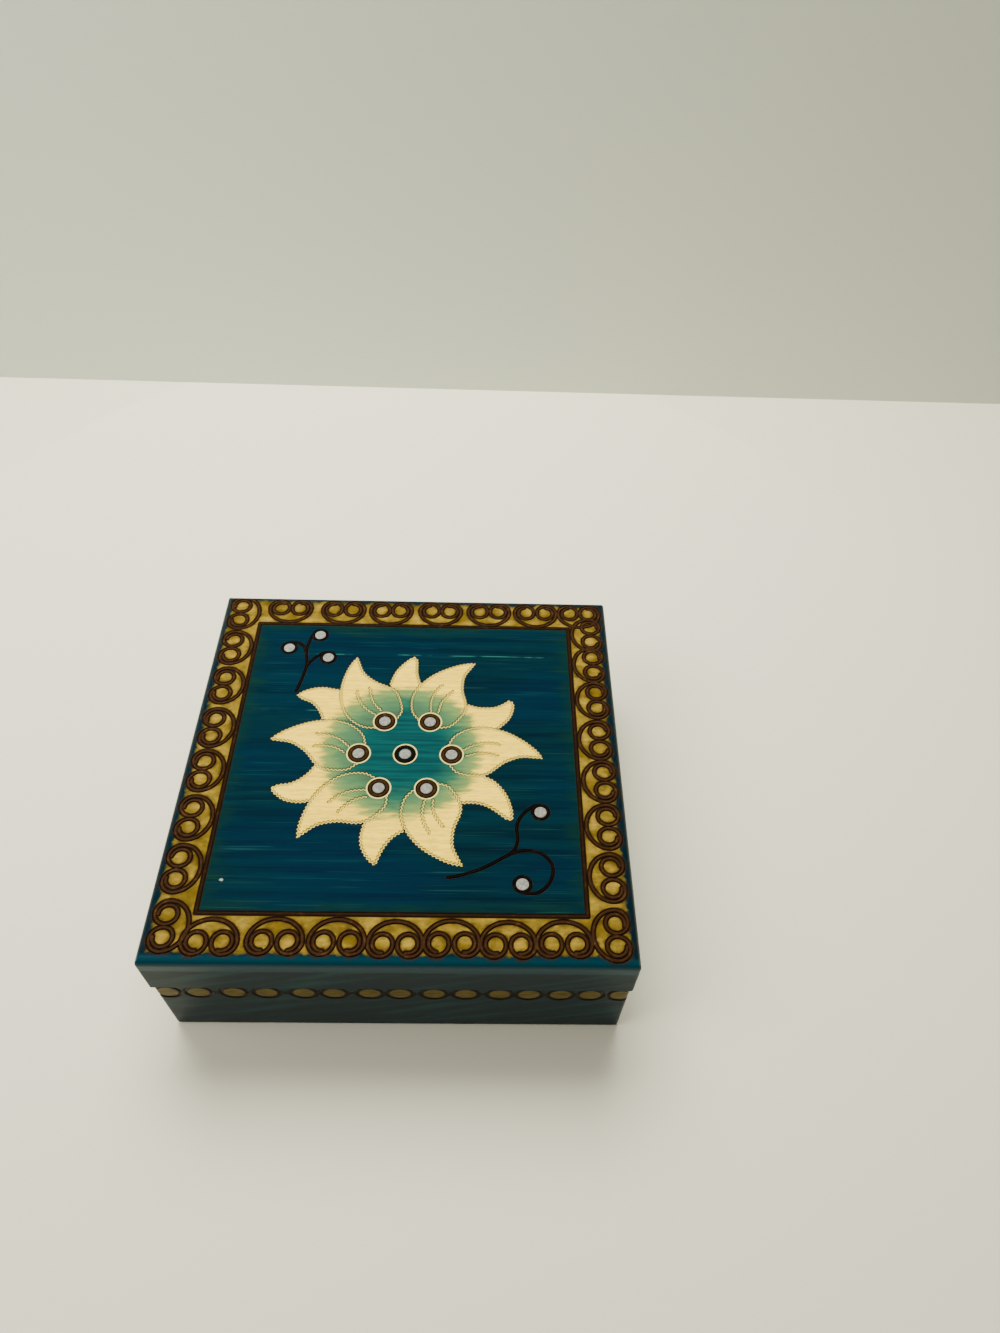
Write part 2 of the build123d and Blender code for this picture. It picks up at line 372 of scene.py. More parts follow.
@dataclass
class CarvedFace:
    """A flat drawing as a bmesh grid, whose faces are small only where there is detail.

    The grid is first laid out flat, with one unit for a cell of the canvas, and is bent
    and carved when the finished solid goes back to a mesh.

    Attributes:
        canvas: The drawing.
        window: First and past-last cell along, then across; multiples of 8 apart.
        curved: True in the cells where the form is rounded.
        bm: The grid.
        count: Number of points that belong to the carved face.
        net: The flat net that the finished surface is painted on.
    """

    canvas: Canvas
    window: tuple[int, int, int, int]
    curved: Array
    bm: bmesh.types.BMesh = field(init=False)
    count: int = field(init=False)
    net: bmesh.types.BMLayerItem = field(init=False)

    def __post_init__(self) -> None:
        """Lays the grid out and splits its faces down to the detail."""
        i0, i1, j0, j1 = self.window
        wide, high, coarse = i1 - i0, j1 - j0, SPLITS[0][0]
        self.bm = bm = bmesh.new()
        bmesh.ops.create_grid(bm, x_segments=wide // coarse, y_segments=high // coarse,
                              size=0.5)
        bmesh.ops.scale(bm, vec=(wide, high, 1), verts=bm.verts)
        bmesh.ops.translate(bm, vec=((i0 + i1) / 2, (j0 + j1) / 2, 0), verts=bm.verts)
        busy = self.canvas.detail()
        for span, margin, curved_margin in SPLITS:
            cells = widen(busy, margin)
            if curved_margin is not None:
                cells = cells | widen(self.curved, curved_margin)
            shape = (cells.shape[0] // span, span, cells.shape[1] // span, span)
            split = cells.reshape(shape).any((1, 3)).tolist()
            edges = set()
            for face in bm.faces:
                x, y, _ = face.calc_center_bounds()
                if split[int(y) // span][int(x) // span]:
                    edges.update(face.edges)
            bmesh.ops.subdivide_edges(bm, edges=list(edges), cuts=1, use_grid_fill=True)
        self.count = len(bm.verts)
        self.net = bm.loops.layers.uv.new("Net")
        for face in bm.faces:
            for loop in face.loops:
                loop[self.net].uv = loop.vert.co.xy

    def unfold(self, face: bmesh.types.BMFace, spots: Points) -> None:
        """Lays a plain face out on the net and keeps its edges crisp.

        Args:
            face: The face.
            spots: The net position of each of its points, in their order.
        """
        for loop, spot in zip(face.loops, spots):
            loop[self.net].uv = spot
        for edge in face.edges:
            edge.smooth = False

    def solid(self, name: str, place: Callable[[Array, Array, Array], Array],
              rest: Callable[[Array], Array], turn: float = 0.0) -> bpy.types.Object:
        """Bends and carves the closed grid and makes the object.

        Args:
            name: The object's name.
            place: Turns drawing coordinates and relief into points in space.
            rest: Turns the other points, as they lie in the bmesh, into points in space.
            turn: Angle to turn the solid by about the vertical, in radians.

        Returns:
            The new object, linked to the scene.
        """
        canvas = self.canvas
        mesh = bpy.data.meshes.new(name)
        bmesh.ops.recalc_face_normals(self.bm, faces=self.bm.faces)
        self.bm.to_mesh(mesh)
        self.bm.free()
        co = np.empty(len(mesh.vertices) * 3, np.float32)
        mesh.vertices.foreach_get("co", co)
        co = co.reshape(-1, 3).astype(float)
        cols, rows = np.rint(co[: self.count, :2]).astype(int).T
        carved = place(canvas.u[cols], canvas.v[rows], canvas.relief[rows, cols])
        co = np.vstack([carved, rest(co[self.count:])]) * MM
        co = co @ np.array(Matrix.Rotation(turn, 3, "Z")).T
        mesh.vertices.foreach_set("co", co.astype(np.float32).ravel())
        for tone in TONES:
            values = np.zeros(len(co), np.float32)
            if tone in canvas.tones:
                values[: self.count] = canvas.tones[tone][rows, cols]
            layer = mesh.attributes.new(tone, "FLOAT", "POINT")
            layer.data.foreach_set("value", values)
        net = mesh.uv_layers["Net"].uv
        uv = np.empty(len(net) * 2, np.float32)
        net.foreach_get("vector", uv)
        uv = uv.reshape(-1, 2)
        uv = (uv - uv.min(0)) / (uv.max(0) - uv.min(0)).max()
        uv = NET_MARGIN + (1 - 2 * NET_MARGIN) * uv
        net.foreach_set("vector", uv.ravel())
        mesh.update()
        ob = bpy.data.objects.new(name, mesh)
        bpy.context.scene.collection.objects.link(ob)
        log.info("%s: %d points, %d faces", name, len(co), len(mesh.polygons))
        return ob


# The flower's petals: tip, and the side that the outer edge bends to
PETAL_RING = 16.1
PETALS = (((47.4, -0.8), 1), ((23.5, 41.4), 1), ((-20.6, 43.3), 1),
          ((-47.1, 5.5), -1), ((-32.6, -32.8), -1), ((20.5, -42.3), -1))
PETAL_LENGTH = 31.7
PETAL_OUTER = ((-1.4, 3.8), (0.8, 8.0), (5.8, 11.2), (11.5, 12.0), (17.5, 10.9),
               (22.5, 8.6), (27.3, 5.2), (30.3, 2.2), (31.7, 0.0))
PETAL_INNER = ((-0.7, -4.0), (2.6, -7.3), (9.5, -8.3), (13.5, -6.9), (18.0, -2.9),
               (22.5, -0.5), (25.5, 0.2), (28.5, 0.1), (31.7, 0.0))
PETAL_VEINS = (((3.7, 1.9), (7.0, 4.0), (9.8, 5.1), (13.2, 5.5), (16.5, 5.2)),
               ((5.0, -0.4), (8.0, 0.7), (10.2, 1.1), (13.0, 0.9), (16.1, 0.2)))

# The small leaves between the petals: two edges each, from the petals out to the tip
LEAVES = (
    (((-7.3, 31.0), (-6.6, 34.0), (-5.3, 37.4), (-3.3, 40.4), (-0.9, 43.0),
      (0.7, 44.0)),
     ((3.8, 30.8), (2.7, 34.4), (2.2, 37.0), (2.1, 40.0), (1.8, 42.8),
      (0.7, 44.0))),
    (((21.3, 21.9), (24.4, 20.9), (27.7, 20.6), (31.0, 20.9), (33.7, 22.1),
      (36.2, 23.9)),
     ((32.3, 11.6), (35.3, 14.7), (37.0, 17.7), (37.8, 21.1), (37.4, 23.2),
      (36.2, 23.9))),
    (((-25.4, 27.8), (-28.6, 28.3), (-31.2, 28.8), (-34.5, 28.5), (-37.9, 27.3),
      (-40.6, 25.3)),
     ((-30.2, 14.6), (-31.2, 17.1), (-32.9, 19.8), (-35.2, 22.1), (-38.5, 23.6),
      (-40.6, 25.3))),
    (((-30.6, -5.2), (-31.7, -7.4), (-33.4, -9.4), (-35.7, -11.4), (-38.4, -12.7),
      (-41.5, -13.2), (-43.8, -14.4)),
     ((-30.4, -19.2), (-33.1, -19.8), (-36.1, -19.7), (-39.1, -18.9), (-41.5, -17.3),
      (-43.1, -15.8), (-43.8, -14.4))),
    (((-11.7, -27.4), (-12.3, -30.7), (-12.4, -33.3), (-11.8, -36.3), (-10.4, -39.0),
      (-8.8, -41.0), (-7.1, -42.4)),
     ((1.2, -30.2), (-0.4, -31.3), (-2.5, -33.0), (-4.5, -36.0), (-5.9, -39.3),
      (-6.5, -41.3), (-7.1, -42.4))),
    (((27.2, -8.7), (30.4, -10.4), (32.7, -12.7), (34.7, -15.7), (36.0, -19.0),
      (36.8, -22.4), (36.8, -25.5)),
     ((20.0, -19.5), (22.7, -19.2), (26.0, -19.5), (29.4, -20.9), (32.3, -23.0),
      (34.8, -25.0), (36.8, -25.5))),
)

# The round area between petals and leaves that belongs to the flower, and the middle
# of its wash
HEART_RADIUS = 27.5
WASH = (-1.4, 2.0)
# Rings round a petal's peg, round the middle one, pale round both, and round a sprig's
PETAL_PEG_RING, MIDDLE_PEG_RING, PALE_RING, SPRIG_PEG_RING = 2.88, 3.2, 4.02, 2.62

# The two sprigs: stems, and the pegs they end at
BACK_SPRIG = (((-41.3, 27.0), (-40.3, 31.1), (-39.6, 35.1), (-39.1, 38.6),
               (-39.4, 42.0), (-40.0, 45.5), (-39.8, 49.5), (-39.0, 53.5), (-37.6, 56.3)),
              ((-39.1, 38.9), (-37.4, 41.7), (-35.3, 44.2), (-33.2, 45.8)),
              ((-40.0, 45.2), (-41.2, 48.4), (-43.4, 50.4), (-46.0, 50.7)))
FRONT_SPRIG = (((16.3, -46.7), (19.7, -46.0), (24.7, -44.4), (29.0, -42.4),
                (33.0, -40.0), (35.6, -38.4), (37.6, -36.4), (38.6, -32.7), (38.3, -28.6),
                (39.3, -25.2), (41.6, -22.2), (44.6, -20.1)),
               ((35.6, -38.4), (39.0, -37.2), (43.0, -36.9), (47.0, -38.6), (49.6, -42.6),
                (48.6, -47.6), (45.2, -51.2), (41.2, -51.7), (38.2, -50.8)))
SPRIG_PEGS = ((-35.8, 54.5), (-46.7, 47.8), (-31.5, 43.3), (46.3, -22.6), (39.8, -48.7))

# The border: middles of the scrolls on each side, and half the distance of their circles
FRAME_LINE = 59.7
# How far back the frame line's front and back sides are shifted
FRAME_SHIFT = (0.5, 0.4)
EDGE_LINE = 71.8
SCROLL_LINE = 68.2
SCROLLS = {
    "back": ((-49.0, -28.3, -9.6, 9.8, 28.8, 47.2, 64.3), 3.75),
    "left": ((65.4, 47.6, 29.2, 10.2, -7.8, -26.2, -44.4, -63.4), 3.75),
    "right": ((57.1, 41.9, 25.0, 7.2, -10.0, -27.6, -46.0, -65.0), 3.75),
    "front": ((-53.9, -34.6, -16.2, 1.3, 18.2, 35.2, 52.1), 3.95),
}
SCROLL_ARCH = 7.1
# The radii of a spiral where it leaves the arch, after its first turn and at its end,
# and its turn, its whole sweep and its step in degrees
SPIRAL_START, SPIRAL_TIGHT, SPIRAL_END = 4.35, 3.15, 2.85
SPIRAL_TURN, SPIRAL_SWEEP, SPIRAL_STEP = 200, (435, 475), 6.0
# How much the carver's hand varies a scroll: its size, as a share, and its place
UNEVEN_SIZE, UNEVEN_PLACE = 0.02, 0.3

# The chain on the walls: middles of its rings, measured from the middle of the front
CHAIN = (-70.6, -60.9, -49.9, -39.8, -28.2, -18.7, -7.5, 1.9, 12.6, 22.6, 33.3, 42.5,
         52.5, 61.9, 71.6)
CHAIN_RADIUS = 4.15
CHAIN_DROP = 4.95
# Where a link starts, beside and below its ring's middle
CHAIN_LINK = (3.1, 2.7)

# Wear: two scratches, each as its place across and its two ends along the grain, how
# gently they end, and the middle of a chip
SCRATCHES = ((44.7, -40.0, 56.0), (18.1, -59.0, -26.0))
SCRATCH_FADE = 6.0
CHIP = (-53.6, -47.7)


def petal_root(number: int) -> Point:
    """The middle of the peg that a petal grows from, counted from the right."""
    angle = math.radians(360 / len(PETALS) * number)
    return PETAL_RING * math.cos(angle), PETAL_RING * math.sin(angle)


def peg_places() -> list[Point]:
    """Middles of the inlaid pegs: the flower's seven, then the sprigs' five."""
    return [(0.0, 0.0), *map(petal_root, range(len(PETALS))), *SPRIG_PEGS]


def petal_path(tip: Point, number: int, bend: int, local: Points) -> Array:
    """Puts one of a petal's lines onto the lid.

    Args:
        tip: The petal's tip.
        number: The petal's number.
        bend: 1 if its outer edge is on the left of its middle line, otherwise -1.
        local: The line's points, given along and beside the middle line.

    Returns:
        The points of the smooth line.
    """
    root = np.array(petal_root(number))
    run = np.array(tip) - root
    scale = np.hypot(*run) / PETAL_LENGTH
    along = run / np.hypot(*run)
    beside = bend * np.array([-along[1], along[0]])
    points = np.array(local)
    ahead = np.outer(points[:, 0] * scale, along)
    return spline(root + ahead + np.outer(points[:, 1], beside))


def scroll_path(rng: np.random.Generator, half: float) -> Array:
    """One scroll of the border: two spirals joined by an arch.

    Args:
        rng: Draws how far each spiral runs, as a hand would vary it.
        half: Half the distance between the spirals' middles.

    Returns:
        The points, as (along the side, towards the lid's middle).
    """
    ends = []
    for side, sweep in zip((-1, 1), rng.uniform(*SPIRAL_SWEEP, 2)):
        phi = np.arange(0, sweep, SPIRAL_STEP)
        rho = SPIRAL_START + (SPIRAL_TIGHT - SPIRAL_START) * smooth(0, SPIRAL_TURN, phi)
        rho += (SPIRAL_END - SPIRAL_TIGHT) * smooth(SPIRAL_TURN, sweep, phi)
        turn = np.radians(phi)
        across = side * (half + rho * np.cos(turn))
        ends.append(np.column_stack([across, -rho * np.sin(turn)]))
    psi = np.linspace(math.pi, 0, 40)[1:-1]
    arch = np.column_stack([(half + SPIRAL_START) * np.cos(psi),
                            SCROLL_ARCH * np.sin(psi)])
    return np.vstack([ends[0][::-1], arch, ends[1]])


def draw_flower(canvas: Canvas) -> None:
    """Draws the flower, its leaves and the rings round its pegs, and marks its area.

    Args:
        canvas: The lid's drawing.
    """
    heart = canvas.inside(ring((0.0, 0.0), HEART_RADIUS)[:-1])
    leaves, petals = np.zeros(canvas.uu.shape), np.zeros(canvas.uu.shape)
    for sides in LEAVES:
        a, b = (spline(side) for side in sides)
        for edge in (a, b):
            canvas.draw(Stroke(edge, Cut.ROPE))
        outline = np.vstack([[[0.0, 0.0]], a, b[::-1]])
        leaves = np.maximum(leaves, canvas.inside(outline))
    for i, (tip, bend) in enumerate(PETALS):
        outer, inner, *veins = (petal_path(tip, i, bend, line)
                                for line in (PETAL_OUTER, PETAL_INNER, *PETAL_VEINS))
        for line in (outer, inner, *veins):
            canvas.draw(Stroke(line, Cut.ROPE))
        outline = np.vstack([outer, inner[::-1]])
        petals = np.maximum(petals, canvas.inside(outline))
    for i, peg in enumerate(peg_places()[:len(PETALS) + 1]):
        canvas.draw(Stroke(ring(peg, PETAL_PEG_RING), Cut.RING if i else Cut.BRANCH))
        if not i:
            canvas.draw(Stroke(ring(peg, MIDDLE_PEG_RING), Cut.BRANCH))
        canvas.draw(Stroke(ring(peg, PALE_RING), Cut.HAIR))
    canvas.tones["flower"] = np.maximum.reduce([heart, leaves, petals])
    canvas.tones["petal"] = petals


def draw_sprigs(canvas: Canvas) -> None:
    """Draws the two sprigs beside the flower.

    Args:
        canvas: The lid's drawing.
    """
    for stem in (*BACK_SPRIG, *FRONT_SPRIG):
        canvas.draw(Stroke(spline(stem), Cut.BRANCH))
    for peg in SPRIG_PEGS:
        canvas.draw(Stroke(ring(peg, SPRIG_PEG_RING), Cut.BRANCH))


def draw_border(canvas: Canvas, rng: np.random.Generator) -> None:
    """Draws the frame line and the scrolls of the border.

    Args:
        canvas: The lid's drawing.
        rng: Draws how the scrolls vary in size and place.
    """
    f, (front, back) = FRAME_LINE, FRAME_SHIFT
    square = [(-f, front - f), (f, front - f), (f, f + back), (-f, f + back),
              (-f, front - f)]
    canvas.draw(Stroke(np.array(square), Cut.FRAME))
    for side, (middles, half) in SCROLLS.items():
        for middle in middles:
            size = half * rng.uniform(1 - UNEVEN_SIZE, 1 + UNEVEN_SIZE)
            path = scroll_path(rng, size)
            along = middle + path[:, 0]
            inward = SCROLL_LINE + rng.uniform(-UNEVEN_PLACE, UNEVEN_PLACE) - path[:, 1]
            placed = {
                "back": (along, inward), "front": (along, -inward),
                "left": (-inward, along), "right": (inward, along),
            }[side]
            canvas.draw(Stroke(np.column_stack(placed), Cut.BAND))


def lid_place(u: Array, v: Array, relief: Array) -> Array:
    """Puts points of the flat drawing onto the lid's top, bent over its rounded edges.

    Args:
        u: The points' places along the drawing.
        v: Their places across it.
        relief: How far they stand above the plain top.

    Returns:
        The points in space, one row each.
    """
    flat = LID_HALF - PANEL_EDGE_RADIUS
    places, drops = [], []
    for w in (u, v):
        over = np.clip(np.abs(w) - flat, 0, None) / PANEL_EDGE_RADIUS
        over = np.minimum(over, math.pi / 2)
        bent = np.where(over > 0, flat + PANEL_EDGE_RADIUS * np.sin(over), np.abs(w))
        places.append(np.sign(w) * bent)
        drops.append(PANEL_EDGE_RADIUS * (1 - np.cos(over)))
    x, y = places
    z = LID_TOP - np.maximum(*drops) + relief
    core = LID_HALF - LID_CORNER_RADIUS
    dx, dy = np.abs(x) - core, np.abs(y) - core
    corner = (dx > 0) & (dy > 0)
    pull = np.maximum(dx, dy) / np.maximum(np.hypot(dx, dy), 1e-9)
    x = np.where(corner, np.sign(x) * (core + dx * pull), x)
    y = np.where(corner, np.sign(y) * (core + dy * pull), y)
    return np.column_stack([x, y, z])


def subtract(ob: bpy.types.Object, outline: Points, low: float, high: float,
             upright: bool = True) -> None:
    """Cuts a straight prism out of a solid.

    Args:
        ob: The solid.
        outline: The prism's section, in millimetres: (x, y) if upright, else (y, z).
        low: Where the prism starts, along Z if upright, otherwise along X.
        high: Where it ends.
        upright: Whether the prism stands upright or lies along X.
    """
    bm = bmesh.new()
    ends = [(a, b, low) if upright else (low, a, b) for a, b in outline]
    start = bm.faces.new([bm.verts.new(Vector(p) * MM) for p in ends])
    made = bmesh.ops.extrude_face_region(bm, geom=[start], use_keep_orig=True)["geom"]
    far = [v for v in made if isinstance(v, bmesh.types.BMVert)]
    reach = (high - low) * MM
    bmesh.ops.translate(bm, vec=(0, 0, reach) if upright else (reach, 0, 0), verts=far)
    bmesh.ops.recalc_face_normals(bm, faces=bm.faces)
    prism = bpy.data.meshes.new("Cutter")
    bm.to_mesh(prism)
    bm.free()
    cutter = bpy.data.objects.new("Cutter", prism)
    bpy.context.scene.collection.objects.link(cutter)
    cut = ob.modifiers.new("Cut", "BOOLEAN")
    cut.operation, cut.solver, cut.object = "DIFFERENCE", "MANIFOLD", cutter
    graph = bpy.context.evaluated_depsgraph_get()
    result = bpy.data.meshes.new_from_object(ob.evaluated_get(graph), depsgraph=graph)
    ob.modifiers.clear()
    old, ob.data = ob.data, result
    result.name = old.name
    # The cutter goes with its mesh
    for gone in (old, prism):
        bpy.data.meshes.remove(gone)


@dataclass
class CarvedLid:
    """The lid's top board, carved, as one field and four border strips.

    Attributes:
        board: The stained top's material.
        bare: The material of the underside, which shows inside the open lid.
        cells: Cells of the drawing along each side.
        field_cells: First and past-last cell of the field between the border strips.
        seed: Starts the random draws that vary the scrolls.
        net_gap: Cells of the net between the top and the underside.
        net_share: Size of the plain underside on the net, against its real size.
    """

    board: bpy.types.Material
    bare: bpy.types.Material
    cells: int = 768
    field_cells: tuple[int, int] = (88, 680)
    seed: int = 8
    net_gap: float = 45.0
    net_share: float = 0.1

    def build(self) -> None:
        """Carves the board, as five pieces, and drills it for the pegs."""
        arc = PANEL_EDGE_RADIUS * math.pi / 2
        half = LID_HALF - PANEL_EDGE_RADIUS + arc
        pitch = 2 * half / self.cells
        canvas = Canvas((-half, -half), (self.cells, self.cells), (pitch, pitch))
        draw_flower(canvas)
        draw_sprigs(canvas)
        draw_border(canvas, np.random.default_rng(self.seed))
        canvas.carve()
        reach = np.maximum(np.abs(canvas.uu), np.abs(canvas.vv))[:-1, :-1]
        curved = reach > LID_HALF - PANEL_EDGE_RADIUS - pitch
        a, b = self.field_cells
        lid_field = self._piece("lid_field", CarvedFace(canvas, (a, b, a, b), curved))
        for peg in peg_places():
            hole = ring(peg, PEG_RADIUS + PEG_CLEARANCE, 0.35)[:-1]
            subtract(lid_field, hole, LID_TOP - PEG_HOLE_DEPTH, LID_TOP + CLEAR)
        for side, window in (("front", (0, self.cells, 0, a)),
                             ("back", (0, self.cells, b, self.cells)),
                             ("left", (0, a, a, b)), ("right", (b, self.cells, a, b))):
            self._piece(f"lid_border_{side}", CarvedFace(canvas, window, curved))

    def _piece(self, name: str, face: CarvedFace) -> bpy.types.Object:
        """Gives one piece of the carved top its sides and underside.

        Args:
            name: The piece's name.
            face: Its carved top.

        Returns:
            The piece.
        """
        bm, (i0, i1, j0, j1) = face.bm, face.window
        rim = [e for e in bm.edges if e.is_boundary]
        made = bmesh.ops.extrude_edge_only(bm, edges=rim)["geom"]
        low = [g for g in made if isinstance(g, bmesh.types.BMVert)]
        bmesh.ops.translate(bm, vec=(0, 0, -1), verts=low)
        depth = (LID_TOP - PANEL_BOTTOM) / face.canvas.pitch[0]
        for side in [g for g in made if isinstance(g, bmesh.types.BMFace)]:
            x, y, _ = side.calc_center_bounds()
            # Which way the side faces, and how deep a step that way is on the net
            right = ((x > i1 - 0.01) - (x < i0 + 0.01)) * depth
            back = ((y > j1 - 0.01) - (y < j0 + 0.01)) * depth
            face.unfold(side, [(v.co.x - right * v.co.z, v.co.y - back * v.co.z)
                               for v in side.verts])
        loop = [e for e in bm.edges if e.is_boundary]
        foot = bmesh.ops.holes_fill(bm, edges=loop, sides=0)["faces"][0]
        start = j1 + self.net_gap
        face.unfold(foot, [(i0 + self.net_share * (v.co.x - i0),
                            start + self.net_share * (v.co.y - j0)) for v in foot.verts])
        foot.material_index = 1
        ob = face.solid(name, lid_place, lambda co: self._underside(face.canvas, co))
        for material in (self.board, self.bare):
            ob.data.materials.append(material)
        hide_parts("lid_panel")
        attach(ob, "lid")
        return ob

    @staticmethod
    def _underside(canvas: Canvas, co: Array) -> Array:
        """Puts the underside's points straight below the top's edge.

        Args:
            canvas: The lid's drawing.
            co: The points, as they lie in the bmesh.

        Returns:
            The points in space, one row each.
        """
        u, v = (canvas.low[k] + canvas.pitch[k] * co[:, k] for k in (0, 1))
        placed = lid_place(u, v, np.zeros(len(co)))
        placed[:, 2] = PANEL_BOTTOM
        return placed


@dataclass
class CarvedWall:
    """One wall of the base with the chain carved along its top.

    Attributes:
        side: The side of the box that it stands on.
        turn: Angle from the front to that side, in radians.
        wood: The wall's material.
        cells: Cells of the drawing along and up the wall.
        strips: Where each plain face starts on the net, in cells, and its width in
            millimetres: rim, inside, rebate's ceiling and side, underside.
        end_starts: Where the right and the left mitre start, in cells beside the wall.
    """

    side: str
    turn: float
    wood: bpy.types.Material
    cells: tuple[int, int] = (744, 168)
    strips: tuple[Point, ...] = ((175, 9.0), (225, 28.8), (375, 4.5), (403, 4.4),
                                 (431, 4.5))
    end_starts: tuple[int, int] = (10, 70)

    def build(self) -> None:
        """Carves the wall."""
        straight = BASE_HALF - BASE_CORNER_RADIUS
        half = straight + BASE_CORNER_RADIUS * math.pi / 4
        foot = FOOT_RADIUS * math.pi / 2
        height = foot + BASE_HEIGHT - FOOT_RADIUS
        pitch = (2 * half / self.cells[0], height / self.cells[1])
        canvas = Canvas((-half, 0.0), self.cells, pitch)
        self._draw_chain(canvas, height - CHAIN_DROP)
        canvas.carve()
        curved = (np.abs(canvas.uu) > straight - pitch[0]) | (canvas.vv < foot)
        face = CarvedFace(canvas, (0, self.cells[0], 0, self.cells[1]),
                          curved[:-1, :-1])
        self._close(face)
        ob = face.solid(f"{self.side}_wall_carved", self._place, np.array, self.turn)
        ob.data.materials.append(self.wood)
        if self.side != "front":
            # The stop bevel crosses the back ends of the side walls
            y, z = HINGE_AXIS
            back = y + BEVEL_REACH
            drop = BEVEL_REACH * math.tan(math.radians(BEVEL_ANGLE))
            subtract(ob, ((y, z), (back, z - drop), (back, z + CLEAR)), -LID_HALF - CLEAR,
                     LID_HALF + CLEAR, upright=False)
        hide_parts(f"base_{self.side}_wall")
        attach(ob, "base")

    @staticmethod
    def _draw_chain(canvas: Canvas, level: float) -> None:
        """Draws the chain: rings in pairs, with a slanted line in each pair.

        Args:
            canvas: The wall's drawing.
            level: Height of the rings' middles.
        """
        discs = np.zeros(canvas.uu.shape)
        for middle in CHAIN:
            circle = ring((middle, level), CHAIN_RADIUS)
            canvas.draw(Stroke(circle, Cut.CHAIN))
            discs = np.maximum(discs, canvas.inside(circle[:-1]))
        near, rise = CHAIN_LINK
        for i, (a, b) in enumerate(zip(CHAIN[:-1], CHAIN[1:])):
            mid = (a + b) / 2
            rising, falling = (
                spline(((a + near, level - up), (mid, level), (b - near, level + up)))
                for up in (rise, -rise))
            if i % 2 == 0:
                canvas.draw(Stroke(rising, Cut.CHAIN))
            else:
                canvas.draw(Stroke(rising, Cut.LINK))
                canvas.draw(Stroke(falling, Cut.LINK))
        canvas.tones["ochre"] = discs

    @staticmethod
    def _place(s: Array, h: Array, relief: Array) -> Array:
        """Puts points of the flat drawing onto the front wall's outside.

        Args:
            s: The points' places along the drawing.
            h: Their places up it, from the foot.
            relief: How far they stand above the plain wall.

        Returns:
            The points in space, one row each.
        """
        straight = BASE_HALF - BASE_CORNER_RADIUS
        foot = FOOT_RADIUS * math.pi / 2
        phi = np.minimum(h, foot) / FOOT_RADIUS
        inset = FOOT_RADIUS * (1 - np.sin(phi))
        z = FOOT_RADIUS * (1 - np.cos(phi)) + np.maximum(h - foot, 0)
        alpha = np.clip(np.abs(s) - straight, 0, None) / BASE_CORNER_RADIUS
        radius = BASE_CORNER_RADIUS - inset + relief
        x = np.where(alpha > 0, straight + radius * np.sin(alpha), np.abs(s))
        y = -(straight + radius * np.cos(alpha))
        return np.column_stack([x * np.sign(s), y, z])

    def _close(self, face: CarvedFace) -> None:
        """Adds the wall's plain faces: rim, inside, rebate, underside and mitred ends.

        Args:
            face: The wall's carved outside.
        """
        bm, (wide, high), pitch = face.bm, self.cells, face.canvas.pitch
        rows = {"top": lambda v: v.co.y > high - 0.01, "bottom": lambda v: v.co.y < 0.01,
                "right": lambda v: v.co.x > wide - 0.01, "left": lambda v: v.co.x < 0.01}
        edge = {name: [v for v in bm.verts if test(v)] for name, test in rows.items()}
        edge["top"].sort(key=lambda v: -v.co.x)
        edge["bottom"].sort(key=lambda v: v.co.x)
        edge["right"].sort(key=lambda v: v.co.y)
        edge["left"].sort(key=lambda v: -v.co.y)
        inner, step = BASE_HALF - WALL_THICKNESS, BASE_HALF - REBATE_WIDTH
        section = ((inner, BASE_HEIGHT), (inner, REBATE_HEIGHT), (step, REBATE_HEIGHT),
                   (step, 0.0))
        left = [bm.verts.new((-a, -a, z)) for a, z in section]
        right = [bm.verts.new((a, -a, z)) for a, z in section]
        # Each strip runs from its near line to its far one
        inside = [([right[k], left[k]], [left[k + 1], right[k + 1]]) for k in range(3)]
        lines = [(edge["top"], [left[0], right[0]]), *inside,
                 (edge["bottom"], [right[3], left[3]])]
        for (near, far), (level, width) in zip(lines, self.strips):
            plain = bm.faces.new([*near, *far])
            spots = []
            for v in plain.verts:
                corner = v in left or v in right
                along = v.co.x / pitch[0] + wide / 2 if corner else v.co.x
                spots.append((along, level if v in near else level + width / pitch[1]))
            face.unfold(plain, spots)
        ends = ((edge["right"], right), (edge["left"], left[::-1]))
        for (carved, corners), start in zip(ends, self.end_starts):
            mitre = bm.faces.new([*carved, *corners])
            begin = wide + start
            face.unfold(mitre, [
                (begin + (BASE_HALF + v.co.y) / pitch[0], v.co.z / pitch[1])
                if v in corners else (begin, v.co.y) for v in mitre.verts])


def linear(code: str) -> tuple[float, float, float, float]:
    """A colour written as #rrggbb in sRGB, as Blender's linear values."""
    parts = [int(code[i:i + 2], 16) / 255 for i in (1, 3, 5)]
    parts = [c / 12.92 if c <= 0.04045 else ((c + 0.055) / 1.055) ** 2.4 for c in parts]
    return (*parts, 1.0)


Socket = bpy.types.NodeSocket
Value = float | tuple | str | Socket
RGBA = {"data_type": "RGBA"}
# Map Range's inputs are 0, the value, 1 and 2, where it starts and ends, and 3 and 4,
# what it gives there, which is 0 and 1 where nothing is said
SOFT = {"interpolation_type": "SMOOTHSTEP"}


